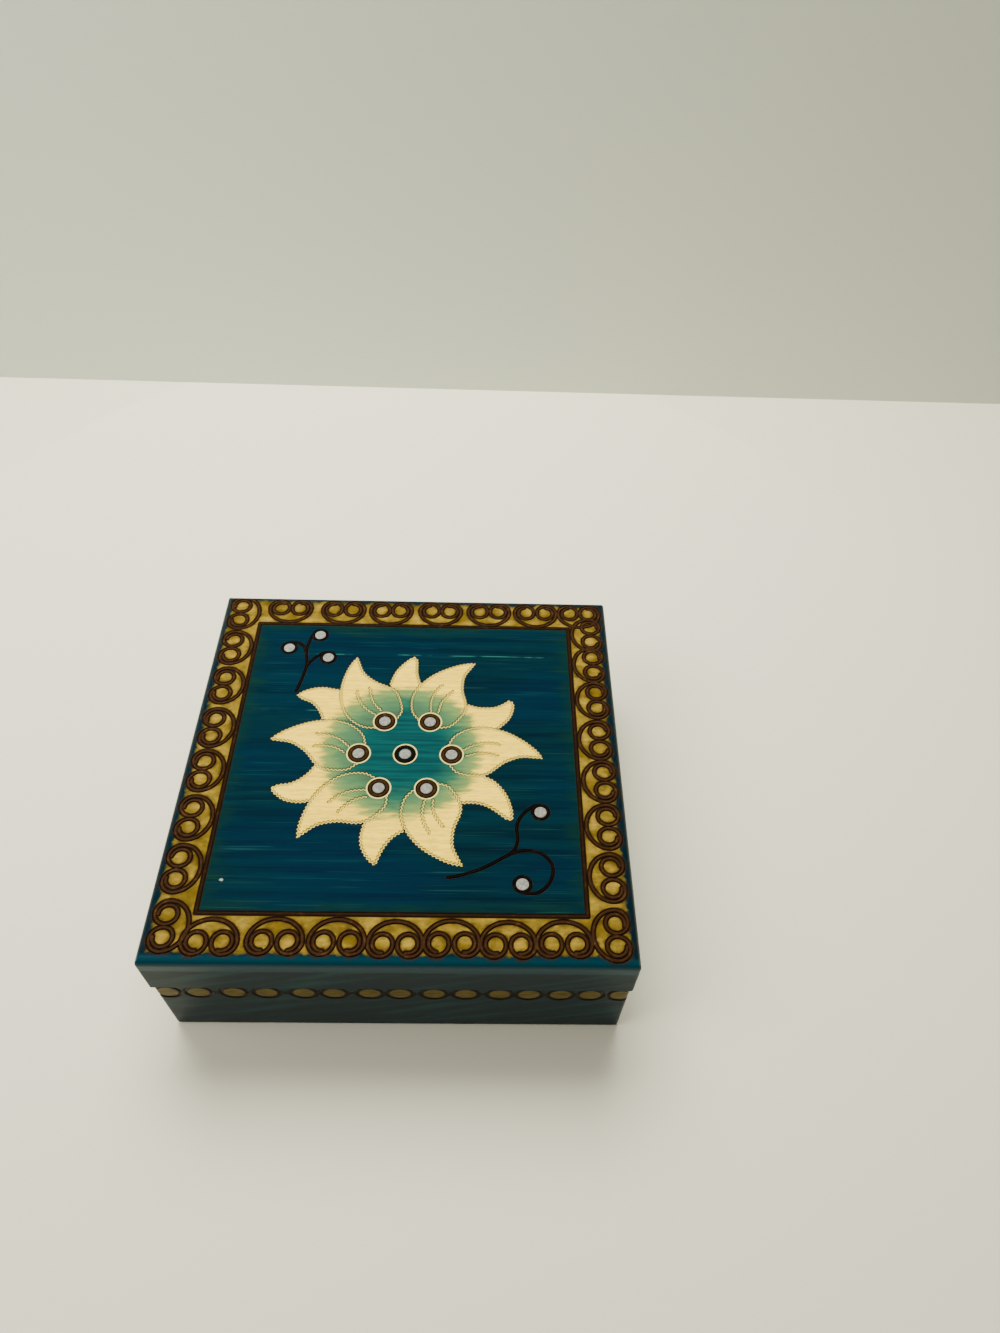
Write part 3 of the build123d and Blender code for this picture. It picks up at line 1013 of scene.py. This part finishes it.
class Finish:
    """A material's node tree. Positions in it are in millimetres.

    Attributes:
        material: The material.
        place: The point on the surface.
        x: The point's place along X.
        y: The point's place along Y.
    """

    def __init__(self, name: str) -> None:
        """Starts a material that has its coordinates only."""
        self.material = bpy.data.materials.new(name)
        self.material.use_nodes = True
        self.tree = self.material.node_tree
        self.tree.nodes.clear()
        where = self.add("TexCoord", {}, "Object")
        self.place = self.add("VectorMath", {0: where, 1: (1 / MM,) * 3},
                              operation="MULTIPLY")
        self.x = self.add("SeparateXYZ", {0: self.place}, "X")
        self.y = self.x.node.outputs["Y"]

    def add(self, kind: str, inputs: dict[int | str, Value], output: int | str = 0,
            **settings: object) -> Socket:
        """Adds a node with its settings and links.

        Args:
            kind: The node's type, without its common beginning.
            inputs: Values, #rrggbb colours or sockets for its inputs.
            output: The output to return.
            settings: The node's own options.

        Returns:
            One of the node's outputs.
        """
        node = self.tree.nodes.new(f"ShaderNode{kind}")
        for key, value in settings.items():
            setattr(node, key, value)
        for key, value in inputs.items():
            if isinstance(value, Socket):
                self.tree.links.new(value, node.inputs[key])
            else:
                value = linear(value) if isinstance(value, str) else value
                node.inputs[key].default_value = value
        return node.outputs[output] if len(node.outputs) else None

    def tone(self, name: str) -> Socket:
        """One of the tones that a carved mesh carries."""
        return self.add("Attribute", {}, "Fac", attribute_name=name)

    def from_middle(self, operation: str) -> Socket:
        """Sets the distance from the box's middle along X against that along Y."""
        away = [self.add("Math", {0: w}, operation="ABSOLUTE") for w in (self.x, self.y)]
        return self.add("Math", {0: away[0], 1: away[1]}, operation=operation)

    def grain(self, size: tuple[float, float, float], low: float, high: float,
              seed: float = 0.0, detail: float = 3.0, strength: float = 1.0) -> Socket:
        """Streaks or blotches of a given size, as a mask.

        Args:
            size: Length of a streak along X, Y and Z, in millimetres.
            low: Noise value that counts as 0.
            high: Noise value that counts as full.
            seed: Moves the pattern.
            detail: How fine the pattern gets.
            strength: The mask's value where it is full.

        Returns:
            The mask.
        """
        turned = self.add("Mapping", {0: self.place, 1: (seed, seed * 0.7, seed * 1.3),
                                      3: tuple(1 / s for s in size)})
        noise = self.add("TexNoise", {"Vector": turned, "Scale": 1.0, "Detail": detail})
        return self.add("MapRange", {0: noise, 1: low, 2: high, 4: strength}, **SOFT)

    def coats(self, ground: Value, *layers: tuple[Value, Value]) -> Socket:
        """Lays stains over a ground.

        Args:
            ground: The ground's colour.
            layers: Each stain, as its mask and its colour.

        Returns:
            The colour that shows.
        """
        for mask, colour in layers:
            ground = self.add("Mix", {0: mask, 6: ground, 7: colour}, 2, **RGBA)
        return ground

    def end(self, inputs: dict[str, Value]) -> bpy.types.Material:
        """Ends the material with a principled surface that has the given inputs."""
        self.add("OutputMaterial", {0: self.add("BsdfPrincipled", inputs)})
        return self.material


@dataclass(frozen=True)
class Lacquer:
    """Clear nitro lacquer, wiped on: a thin coat that gives soft, blurred highlights.

    Attributes:
        coat: Its weight.
        blur: How blurred its shine is.
        under: Roughness of the wood below it.
        sheen: How much the wood below it shines.
    """

    coat: float = 0.26
    blur: float = 0.12
    under: float = 0.5
    sheen: float = 0.04

    def over(self, colour: Value, normal: Socket | None = None) -> dict[str, Value]:
        """Lacquers a piece of wood.

        Args:
            colour: The wood's colour.
            normal: Its fine relief, if it has any.

        Returns:
            The inputs of the principled surface.
        """
        inputs = {"Base Color": colour, "Roughness": self.under,
                  "Specular IOR Level": self.sheen, "Coat Weight": self.coat,
                  "Coat Roughness": self.blur}
        if normal is not None:
            inputs["Normal"] = normal
        return inputs


@dataclass(frozen=True)
class BareLime:
    """Lime wood, planed and clear lacquered.

    Without stain it gives the eye a pale, even cream brown with fine straight grain.
    """

    pale: str = "#d8ba8a"
    dark: str = "#c09c6a"

    def colour(self, f: Finish, axis: int = 0) -> Socket:
        """The wood's colour.

        Args:
            f: The material's nodes.
            axis: The axis that the grain follows, 0 for X and 1 for Y.

        Returns:
            The colour.
        """
        # Growth lines are 1 to 2 mm apart. Pores are under 0.1 mm wide, and drawn at
        # 0.35 mm so that they show
        growth, pore = (tuple(length if k == axis else width for k in range(3))
                        for length, width in ((45.0, 1.3), (6.0, 0.35)))
        lines = f.grain(growth, 0.34, 0.66, 3.0, 4.0)
        pores = f.grain(pore, 0.6, 0.75, 8.0, 2.0)
        return f.coats(self.dark, (lines, self.pale), (pores, self.dark))

    def mitred(self, f: Finish) -> Socket:
        """The colour of a mitred frame, the grain along each of its sides."""
        return f.coats(self.colour(f), (f.from_middle("GREATER_THAN"), self.colour(f, 1)))

    def material(self) -> bpy.types.Material:
        """The underside of the lid's board."""
        f = Finish("Bare lime wood, clear lacquer")
        return f.end(Lacquer(0.25, 0.3).over(self.colour(f)))


@dataclass(frozen=True)
class Burning:
    """What a hot wire tool and a gouge leave on stained lime.

    The tool gives the eye matt brown ridges between black grooves, and a scorch beside
    them; the gouge goes through the stain and leaves pale cuts with burnt specks.
    """

    ridge: str = "#2f1c0c"
    ridge_light: str = "#4a3016"
    groove: str = "#080402"
    cut: str = "#fff08a"
    speck: str = "#1c0f04"
    halo: str = "#2a1a06"

    def lines(self, f: Finish, ground: Value) -> Socket:
        """Lays the carver's lines over a stained ground.

        Args:
            f: The material's nodes.
            ground: The ground's colour.

        Returns:
            The colour that shows.
        """
        # The heat varies over 2 to 3 mm of the tool's run, and the char over less
        uneven = f.grain((2.5, 2.5, 2.5), 0.3, 0.7, 4.0, strength=0.8)
        scorch = f.add("Math", {0: f.tone("halo"), 1: uneven}, operation="MULTIPLY")
        mottle = f.grain((1.6, 1.6, 1.6), 0.5, 0.8, 6.0)
        band = f.coats(self.ridge, (mottle, self.ridge_light),
                       (f.tone("char"), self.groove))
        dots = f.add("Math", {0: f.tone("speck"), 1: 0.95}, operation="MULTIPLY")
        return f.coats(ground, (scorch, self.halo), (f.tone("burn"), band),
                       (dots, self.speck), (f.tone("pale"), self.cut))


@dataclass(frozen=True)
class StainedPanel:
    """Top board of lime, brushed with water stains, burnt, and gloss lacquered.

    The stain soaks in deeper between the growth lines, so it gives the eye streaks along
    the grain: deep teal in the field, a teal wash that bleeds into the cream flower, and
    mottled ochre on the border.
    """

    deep: str = "#00141e"
    light: str = "#002831"
    green: str = "#03281a"
    blue: str = "#001a36"
    thin: str = "#1f5a50"
    heart: str = "#003236"
    heart_light: str = "#004846"
    wash: str = "#2c6448"
    wash_edge: str = "#86944a"
    petal: str = "#ffdc3e"
    petal_dark: str = "#c99a24"
    ochre: str = "#5c4a08"
    ochre_light: str = "#947c2c"
    olive: str = "#30300a"
    edge: str = "#001720"
    # Lighter teal for the front edge only: a painted highlight, not a stain
    edge_front_painted_highlight: str = "#00333f"
    chip: str = "#8c988a"

    def material(self, burning: Burning, lacquer: Lacquer) -> bpy.types.Material:
        """Makes the carved and stained board's material.

        Args:
            burning: The burnt and cut lines.
            lacquer: The coat over it.

        Returns:
            The material.
        """
        f = Finish("Stained carved lime, gloss lacquer")
        far = f.from_middle("MAXIMUM")
        border = f.add("MapRange", {0: far, 1: FRAME_LINE - 0.15, 2: FRAME_LINE + 0.15},
                       **SOFT)
        ground = f.coats(self._field(f, far), (f.tone("flower"), self._flower(f)),
                         (border, self._border(f, far)))
        # The wood's grain stands 0.015 mm proud under the coat, in lines 0.5 mm apart
        grain = f.grain((30.0, 0.5, 3.0), 0.2, 0.8, 4.0)
        bump = f.add("Bump", {"Height": grain, "Distance": 0.015 * MM, "Strength": 1.0})
        return f.end(lacquer.over(burning.lines(f, ground), bump))

    def _field(self, f: Finish, far: Socket) -> Socket:
        """Teal stain along the grain, greener where it meets the frame line.

        Args:
            f: The material's nodes.
            far: Distance from the lid's middle, along X or Y, whichever is more.

        Returns:
            The field's colour.
        """
        # Brush strokes are 2 to 3 mm wide and growth lines under 1 mm; the stain pools in
        # clouds as wide as the brush
        long = f.grain((70.0, 2.6, 9.0), 0.3, 0.72, strength=0.55)
        fine = f.grain((24.0, 0.7, 6.0), 0.35, 0.7, 2.0, 4.0, strength=0.3)
        cloud = f.grain((55.0, 24.0, 20.0), 0.35, 0.65, 5.0, strength=0.3)
        spread = f.grain((16.0, 1.6, 9.0), 0.25, 0.75, 12.0, strength=7.0)
        rim = f.add("Math", {0: far, 1: spread}, operation="ADD")
        rim = f.add("MapRange", {0: rim, 1: 56.5, 2: 66.5, 4: 0.75}, **SOFT)
        # Lines of 0.3 mm where handling has thinned the stain
        worn = f.grain((30.0, 0.3, 5.0), 0.66, 0.74, 11.0, 1.0, strength=0.3)
        return f.coats(self.deep, (long, self.light), (fine, self.light),
                       (cloud, self.blue), (rim, self.green), (worn, self.thin),
                       (self._scratches(f), self.thin), (self._chip(f), self.chip))

    def _scratches(self, f: Finish) -> Socket:
        """Marks two long pale scratches along the grain, broken in places.

        Args:
            f: The material's nodes.

        Returns:
            The mask.
        """
        wander = f.grain((40.0, 200.0, 200.0), 0.0, 1.0, 1.0, 2.0, strength=0.8)
        marks = []
        for level, low, high in SCRATCHES:
            line = f.add("Math", {0: wander, 1: level}, operation="ADD")
            off = f.add("Math", {0: f.y, 1: line}, operation="SUBTRACT")
            off = f.add("Math", {0: off}, operation="ABSOLUTE")
            mark = f.add("MapRange", {0: off, 1: 0.1, 2: 0.3, 3: 1.0, 4: 0.0}, **SOFT)
            start = {0: f.x, 1: low, 2: low + SCRATCH_FADE}
            stop = {0: f.x, 1: high - SCRATCH_FADE, 2: high, 3: 1.0, 4: 0.0}
            for end in (start, stop):
                end = f.add("MapRange", end, **SOFT)
                mark = f.add("Math", {0: mark, 1: end}, operation="MULTIPLY")
            marks.append(mark)
        both = f.add("Math", {0: marks[0], 1: marks[1]}, operation="MAXIMUM")
        broken = f.grain((9.0, 300.0, 300.0), 0.42, 0.62, 6.0)
        return f.add("Math", {0: both, 1: broken}, operation="MULTIPLY")

    def _chip(self, f: Finish) -> Socket:
        """Marks a chip in the stain, a millimetre across with a ragged edge.

        Args:
            f: The material's nodes.

        Returns:
            The mask.
        """
        ragged = f.add("TexNoise", {"Vector": f.place, "Scale": 1.4, "Detail": 2.0},
                       "Color")
        spot = f.add("VectorMath", {0: f.place, 1: (-CHIP[0], -CHIP[1], -LID_TOP)},
                     operation="ADD")
        spot = f.add("VectorMath", {0: spot, 1: ragged}, operation="ADD")
        spot = f.add("VectorMath", {0: spot, 1: (0.9, 1.3, 0.0)}, operation="MULTIPLY")
        gap = f.add("VectorMath", {0: spot}, "Value", operation="LENGTH")
        return f.add("MapRange", {0: gap, 1: 0.4, 2: 0.75, 3: 1.0, 4: 0.0}, **SOFT)

    def _flower(self, f: Finish) -> Socket:
        """Cream petals and leaves, with a teal wash that bleeds along the grain.

        Args:
            f: The material's nodes.

        Returns:
            The flower's colour.
        """
        # The wash bleeds up to 4.5 mm in or out, in tongues 1.6 mm wide and 6 mm long
        turned = f.add("Mapping", {0: f.place, 1: (2.0, 1.4, 2.6), 3: (0.16, 0.62, 0.1)})
        bleed = f.add("TexNoise", {"Vector": turned, "Scale": 1.0, "Detail": 3.0})
        bleed = f.add("Math", {0: bleed, 1: 9.0, 2: -4.5}, operation="MULTIPLY_ADD")
        off = f.add("VectorMath", {0: f.place, 1: (-WASH[0], -WASH[1], -LID_TOP)},
                    operation="ADD")
        radius = f.add("VectorMath", {0: off}, "Value", operation="LENGTH")
        radius = f.add("Math", {0: radius, 1: bleed}, operation="ADD")
        # Growth lines a millimetre apart, and fibres drawn at 0.5 mm so that they show
        streak = f.grain((26.0, 1.1, 8.0), 0.32, 0.7, 7.0, 4.0)
        faint = f.add("Math", {0: streak, 1: 0.4}, operation="MULTIPLY")
        fibre = f.grain((3.2, 0.5, 2.0), 0.42, 0.72, 15.0, 4.0, strength=0.5)
        petal = f.coats(self.petal, (faint, self.petal_dark), (fibre, self.petal_dark))
        heart = f.coats(self.heart, (streak, self.heart_light))
        # The petals take the wash more than the leaves between them
        petals = f.tone("petal")
        inner = f.add("MapRange", {0: radius, 1: 12.5, 2: 25.0}, **SOFT)
        share = f.add("Math", {0: petals, 1: 0.25, 2: 0.75}, operation="MULTIPLY_ADD")
        inner = f.add("Math", {0: inner, 1: share}, operation="MULTIPLY")
        lift = f.add("Math", {0: petals, 1: 0.16}, operation="MULTIPLY")
        outer = f.add("MapRange", {0: radius, 1: 20.0, 2: 28.0, 4: 0.6}, **SOFT)
        cream = f.add("MapRange", {0: radius, 1: 25.6, 2: 29.8}, **SOFT)
        return f.coats(heart, (inner, self.wash), (lift, self.wash_edge),
                       (outer, self.wash_edge), (cream, petal))

    def _border(self, f: Finish, far: Socket) -> Socket:
        """Ochre stain, olive and then nearly black towards the board's edge, where the
        front edge is lightened by a painted highlight.

        Args:
            f: The material's nodes.
            far: Distance from the lid's middle, along X or Y, whichever is more.

        Returns:
            The border's colour.
        """
        # Dabbed on between the scrolls: clouds as wide as the brush, and the fine mottle
        # of its hairs
        cloud = f.grain((9.0, 7.0, 7.0), 0.3, 0.7, 9.0)
        mottle = f.grain((1.7, 1.3, 1.3), 0.4, 0.7, 17.0, strength=0.4)
        lines = f.grain((12.0, 0.9, 3.0), 0.4, 0.7, 5.0, strength=0.35)
        ragged = f.grain((3.0, 3.0, 3.0), 0.1, 0.9, 14.0)
        off = f.add("Math", {0: ragged, 1: 2.2, 2: -1.1}, operation="MULTIPLY_ADD")
        off = f.add("Math", {0: far, 1: off}, operation="ADD")
        olive = f.add("MapRange", {0: off, 1: 69.5, 2: 72.4, 4: 0.8}, **SOFT)
        dark = f.add("MapRange", {0: off, 1: EDGE_LINE - 0.5, 2: EDGE_LINE + 0.4}, **SOFT)
        # Painted highlight: the board's front edge is made lighter teal than its other
        # edges, for the light that catches it
        front = f.add("MapRange", {0: f.y, 1: -73.8, 2: -71.5, 3: 1.0, 4: 0.0}, **SOFT)
        edge = f.coats(self.edge, (front, self.edge_front_painted_highlight))
        return f.coats(self.ochre, (cloud, self.ochre_light), (mottle, self.olive),
                       (lines, self.ochre), (olive, self.olive), (dark, edge))


@dataclass(frozen=True)
class StainedSide:
    """Rails and walls of lime, brushed with dark stain outside, and gloss lacquered.

    It gives the eye a near black with slanting teal streaks where the brush ran dry, and
    bare wood inside and on the rims.
    """

    deep: str = "#0a2129"
    light: str = "#0f3539"
    disc: str = "#63531a"
    disc_dark: str = "#423a0c"

    def material(self, name: str, burning: Burning, bare: BareLime,
                 lacquer: Lacquer) -> bpy.types.Material:
        """Makes the wood's material.

        Args:
            name: The material's name.
            burning: The burnt lines of the chain.
            bare: The wood inside.
            lacquer: The coat over it.

        Returns:
            The material.
        """
        f = Finish(name)
        # Brush streaks 34 mm long and 3.6 mm wide, which rise to the right
        slant = f.add("Mapping", {0: f.place, 2: (0.32, -0.32, 0.0),
                                  3: (34.0, 34.0, 3.6)}, vector_type="TEXTURE")
        streak = f.add("TexNoise", {"Vector": slant, "Scale": 1.0, "Detail": 3.0})
        streak = f.add("MapRange", {0: streak, 1: 0.42, 2: 0.72}, **SOFT)
        grain = f.grain((5.0, 5.0, 0.8), 0.4, 0.7, 3.0)
        disc = f.coats(self.disc, (grain, self.disc_dark))
        ground = f.coats(self.deep, (streak, self.light), (f.tone("ochre"), disc))
        # The stain laps a millimetre or two over the rims, as far as the brush slipped
        slip = f.grain((3.0, 3.0, 3.0), 0.0, 1.0, 6.0)
        lap = f.add("Math", {0: slip, 1: f.from_middle("MAXIMUM")}, operation="ADD")
        outside = f.add("MapRange", {0: lap, 1: 72.9, 2: 73.5}, **SOFT)
        return f.end(lacquer.over(
            f.coats(bare.mitred(f), (outside, burning.lines(f, ground)))))


@dataclass(frozen=True)
class Plywood:
    """Bottom of thin birch plywood, sanded, under clear satin lacquer.

    Its peeled face gives the eye wider, paler grain than the lime, with brown dashes.
    """

    face: str = "#cfae7d"
    dark: str = "#b68e5c"
    dash: str = "#8f6a3f"

    def material(self) -> bpy.types.Material:
        """The face veneer, its grain 3 mm wide and its dashes under a millimetre."""
        f = Finish("Birch plywood, clear satin lacquer")
        grain = f.grain((60.0, 3.0, 60.0), 0.35, 0.65, 1.0, 4.0)
        dashes = f.grain((20.0, 0.8, 20.0), 0.6, 0.8, 2.0)
        colour = f.coats(self.dark, (grain, self.face), (dashes, self.dash))
        return f.end(Lacquer(0.2, 0.35).over(colour))


@dataclass(frozen=True)
class Metal:
    """A plain metal part whose shine is broken by faint marks of handling.

    Attributes:
        name: What it is and how it was made.
        clean: Its colour where it is rubbed.
        dull: Its colour where it has dulled.
        roughness: Its roughness where it is rubbed.
        metallic: How much of it is clean metal, and not oxide.
        wear: How much rougher the dull patches are.
    """

    name: str
    clean: str
    dull: str
    roughness: float
    metallic: float = 1.0
    wear: float = 0.12

    def material(self) -> bpy.types.Material:
        """Makes the metal's material, with dull patches about a millimetre across."""
        f = Finish(self.name)
        marks = f.grain((0.9, 0.9, 0.9), 0.35, 0.7, 1.0)
        rough = f.add("MapRange", {0: marks, 3: self.roughness,
                                   4: self.roughness + self.wear})
        return f.end({"Base Color": f.coats(self.clean, (marks, self.dull)),
                      "Roughness": rough, "Metallic": self.metallic})


# Drawn wire, sawn off and rubbed level with the wood: pale, soft and hardly mirroring
PEG = Metal("Aluminium wire, cut and rubbed", "#d2d4cc", "#a9aaa0", 0.5, 0.75)
# Leaves and pins are rolled and drawn, with a warm, fairly sharp shine; turned screws
# are a little darker and sharper
BRASS = Metal("Rolled brass", "#c89b4a", "#9c7430", 0.3)
SCREW = Metal("Turned brass", "#b98a3e", "#86622a", 0.25)


def dress(nodes: dict[str, bpy.types.Object], rail: bpy.types.Material,
          wall: bpy.types.Material) -> None:
    """Gives every piece that keeps the frame's own shape its finish.

    Args:
        nodes: The frame's pieces by name.
        rail: The finish of the lid's rails.
        wall: The finish of the base's walls.
    """
    ply, peg, brass, screw = (kind.material() for kind in (Plywood(), PEG, BRASS, SCREW))
    for name, node in nodes.items():
        if name.startswith("inlay_"):
            finish = peg
        elif name.endswith("_screws"):
            finish = screw
        elif "_hinge_" in name:
            finish = brass
        elif name == "base_bottom":
            finish = ply
        else:
            finish = rail if name.startswith("lid_") else wall
        node.data.materials.clear()
        node.data.materials.append(finish)
        log.info("%s: %s", name, finish.name)


@dataclass(frozen=True)
class HeldCamera:
    """The camera, held over the table, a little askew. Its place is fitted to the photo.

    Attributes:
        place: Where it is, in metres.
        yaw: How far it is turned to the right of straight ahead, in degrees.
        pitch: How far it looks down.
        roll: How far it leans.
        focal_share: Its focal length against its sensor's width.
        sensor: Its sensor's width, in millimetres.
    """

    place: tuple[float, float, float] = (0.02401, -0.18024, 0.31526)
    yaw: float = 2.35
    pitch: float = 49.97
    roll: float = 2.78
    focal_share: float = 0.9129
    sensor: float = 36.0

    def hold(self) -> None:
        """Adds the camera to the scene."""
        yaw, pitch, roll = (math.radians(a) for a in (self.yaw, self.pitch, self.roll))
        ahead = Vector((math.sin(yaw) * math.cos(pitch), math.cos(yaw) * math.cos(pitch),
                        -math.sin(pitch)))
        level = Vector((math.cos(yaw), -math.sin(yaw), 0))
        over = level.cross(ahead)
        right = math.cos(roll) * level + math.sin(roll) * over
        up = -math.sin(roll) * level + math.cos(roll) * over
        data = bpy.data.cameras.new("Camera")
        data.sensor_fit, data.sensor_width = "HORIZONTAL", self.sensor
        data.lens = self.focal_share * self.sensor
        data.clip_start = 0.01
        ob = bpy.data.objects.new("Camera", data)
        turn = Matrix((right, up, -ahead)).transposed()
        ob.matrix_world = Matrix.Translation(self.place) @ turn.to_4x4()
        bpy.context.scene.collection.objects.link(ob)
        bpy.context.scene.camera = ob


@dataclass(frozen=True)
class SoftLight:
    """A rectangular studio light.

    Attributes:
        name: What it stands for.
        place: Where it hangs, in metres.
        aim: The point it is turned to.
        size: Its two sides.
        power: Its power in watts.
        spread: Angle of its beam, in degrees.
        glossy: Whether the lacquer mirrors it.
        colour: Its colour.
    """

    name: str
    place: tuple[float, float, float]
    aim: tuple[float, float, float]
    size: tuple[float, float]
    power: float
    spread: float
    glossy: bool = True
    colour: str = "#fffaf0"

    def hang(self) -> None:
        """Adds the light to the scene."""
        data = bpy.data.lights.new(self.name, "AREA")
        data.shape, data.size, data.size_y = "RECTANGLE", *self.size
        data.energy, data.color = self.power, linear(self.colour)[:3]
        data.spread = math.radians(self.spread)
        ob = bpy.data.objects.new(self.name, data)
        ob.location = self.place
        way = Vector(self.aim) - Vector(self.place)
        ob.rotation_euler = way.to_track_quat("-Z", "Y").to_euler()
        ob.visible_glossy = self.glossy
        bpy.context.scene.collection.objects.link(ob)


@dataclass(frozen=True)
class Studio:
    """A pale table, the pale wall behind it and soft light from above.

    Attributes:
        table: The table's colour.
        wall: The wall's colour.
        paint: Roughness of both.
        sky: Colour of the light from all round.
        sky_power: Its strength.
        half: How far the table and the wall reach to each side, in metres.
        wall_at: How far back the wall stands at its left and its right end.
        wall_height: Its height.
        lights: The lights.
    """

    table: str = "#dedcc6"
    wall: str = "#d7ded0"
    paint: float = 0.7
    sky: str = "#e9ebe6"
    sky_power: float = 0.25
    half: float = 3.0
    wall_at: tuple[float, float] = (0.312, 0.292)
    wall_height: float = 0.27
    lights: tuple[SoftLight, ...] = (
        SoftLight("Daylight", (-0.1, 0.55, 1.0), (-0.02, 0.13, 0.0), (0.9, 0.7), 8.6,
                  85.0, glossy=False),
        SoftLight("Room light", (-0.55, -0.12, 0.7), (-0.1, 0.3, 0.12), (0.5, 0.4), 2.8,
                  110.0),
    )

    def build(self) -> None:
        """Adds the surroundings and the lights."""
        h, (left, right), top = self.half, self.wall_at, self.wall_height
        table = Finish("Table").end({"Base Color": self.table, "Roughness": self.paint})
        self._sheet("Table", [(-h, -h, 0), (h, -h, 0), (h, h, 0), (-h, h, 0)], table)
        wall = self._sheet("Wall", [(-h, left, 0), (h, right, 0), (h, right, top),
                                    (-h, left, top)], self._one_sided())
        wall.visible_shadow = False
        world = bpy.data.worlds.new("World")
        world.use_nodes = True
        background = world.node_tree.nodes["Background"]
        background.inputs["Color"].default_value = linear(self.sky)
        background.inputs["Strength"].default_value = self.sky_power
        bpy.context.scene.world = world
        for light in self.lights:
            light.hang()

    def _one_sided(self) -> bpy.types.Material:
        """The wall's paint, on its front only, so that it never hides the box."""
        f = Finish("Wall")
        paint = f.add("BsdfPrincipled",
                      {"Base Color": self.wall, "Roughness": self.paint})
        back = f.add("NewGeometry", {}, "Backfacing")
        clear = f.add("BsdfTransparent", {})
        f.add("OutputMaterial", {0: f.add("MixShader", {0: back, 1: paint, 2: clear})})
        return f.material

    @staticmethod
    def _sheet(name: str, corners: Sequence[tuple[float, float, float]],
               material: bpy.types.Material) -> bpy.types.Object:
        """Adds a plain four-cornered surface of the surroundings.

        Args:
            name: Its name.
            corners: Its corners, in metres.
            material: Its finish.

        Returns:
            The surface.
        """
        bm = bmesh.new()
        bm.faces.new([bm.verts.new(c) for c in corners])
        mesh = bpy.data.meshes.new(name)
        bm.to_mesh(mesh)
        bm.free()
        mesh.materials.append(material)
        ob = bpy.data.objects.new(name, mesh)
        bpy.context.scene.collection.objects.link(ob)
        return ob


def main() -> None:
    """Builds the box and its surroundings."""
    logging.basicConfig(level=logging.INFO, format="%(message)s")
    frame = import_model()
    bare, burning, thin = BareLime(), Burning(), Lacquer(0.14, 0.2)
    board = StainedPanel().material(burning, Lacquer())
    rail, wall = (StainedSide().material(f"Stained lime {part}, gloss lacquer", burning,
                                         bare, thin) for part in ("rail", "wall"))
    dress(frame["nodes"], rail, wall)
    CarvedLid(board, bare.material()).build()
    quarter = math.pi / 2
    for side, turn in (("front", 0.0), ("left", -quarter), ("right", quarter)):
        CarvedWall(side, turn, wall).build()
    Studio().build()
    HeldCamera().hold()


if __name__ == "__main__":
    main()
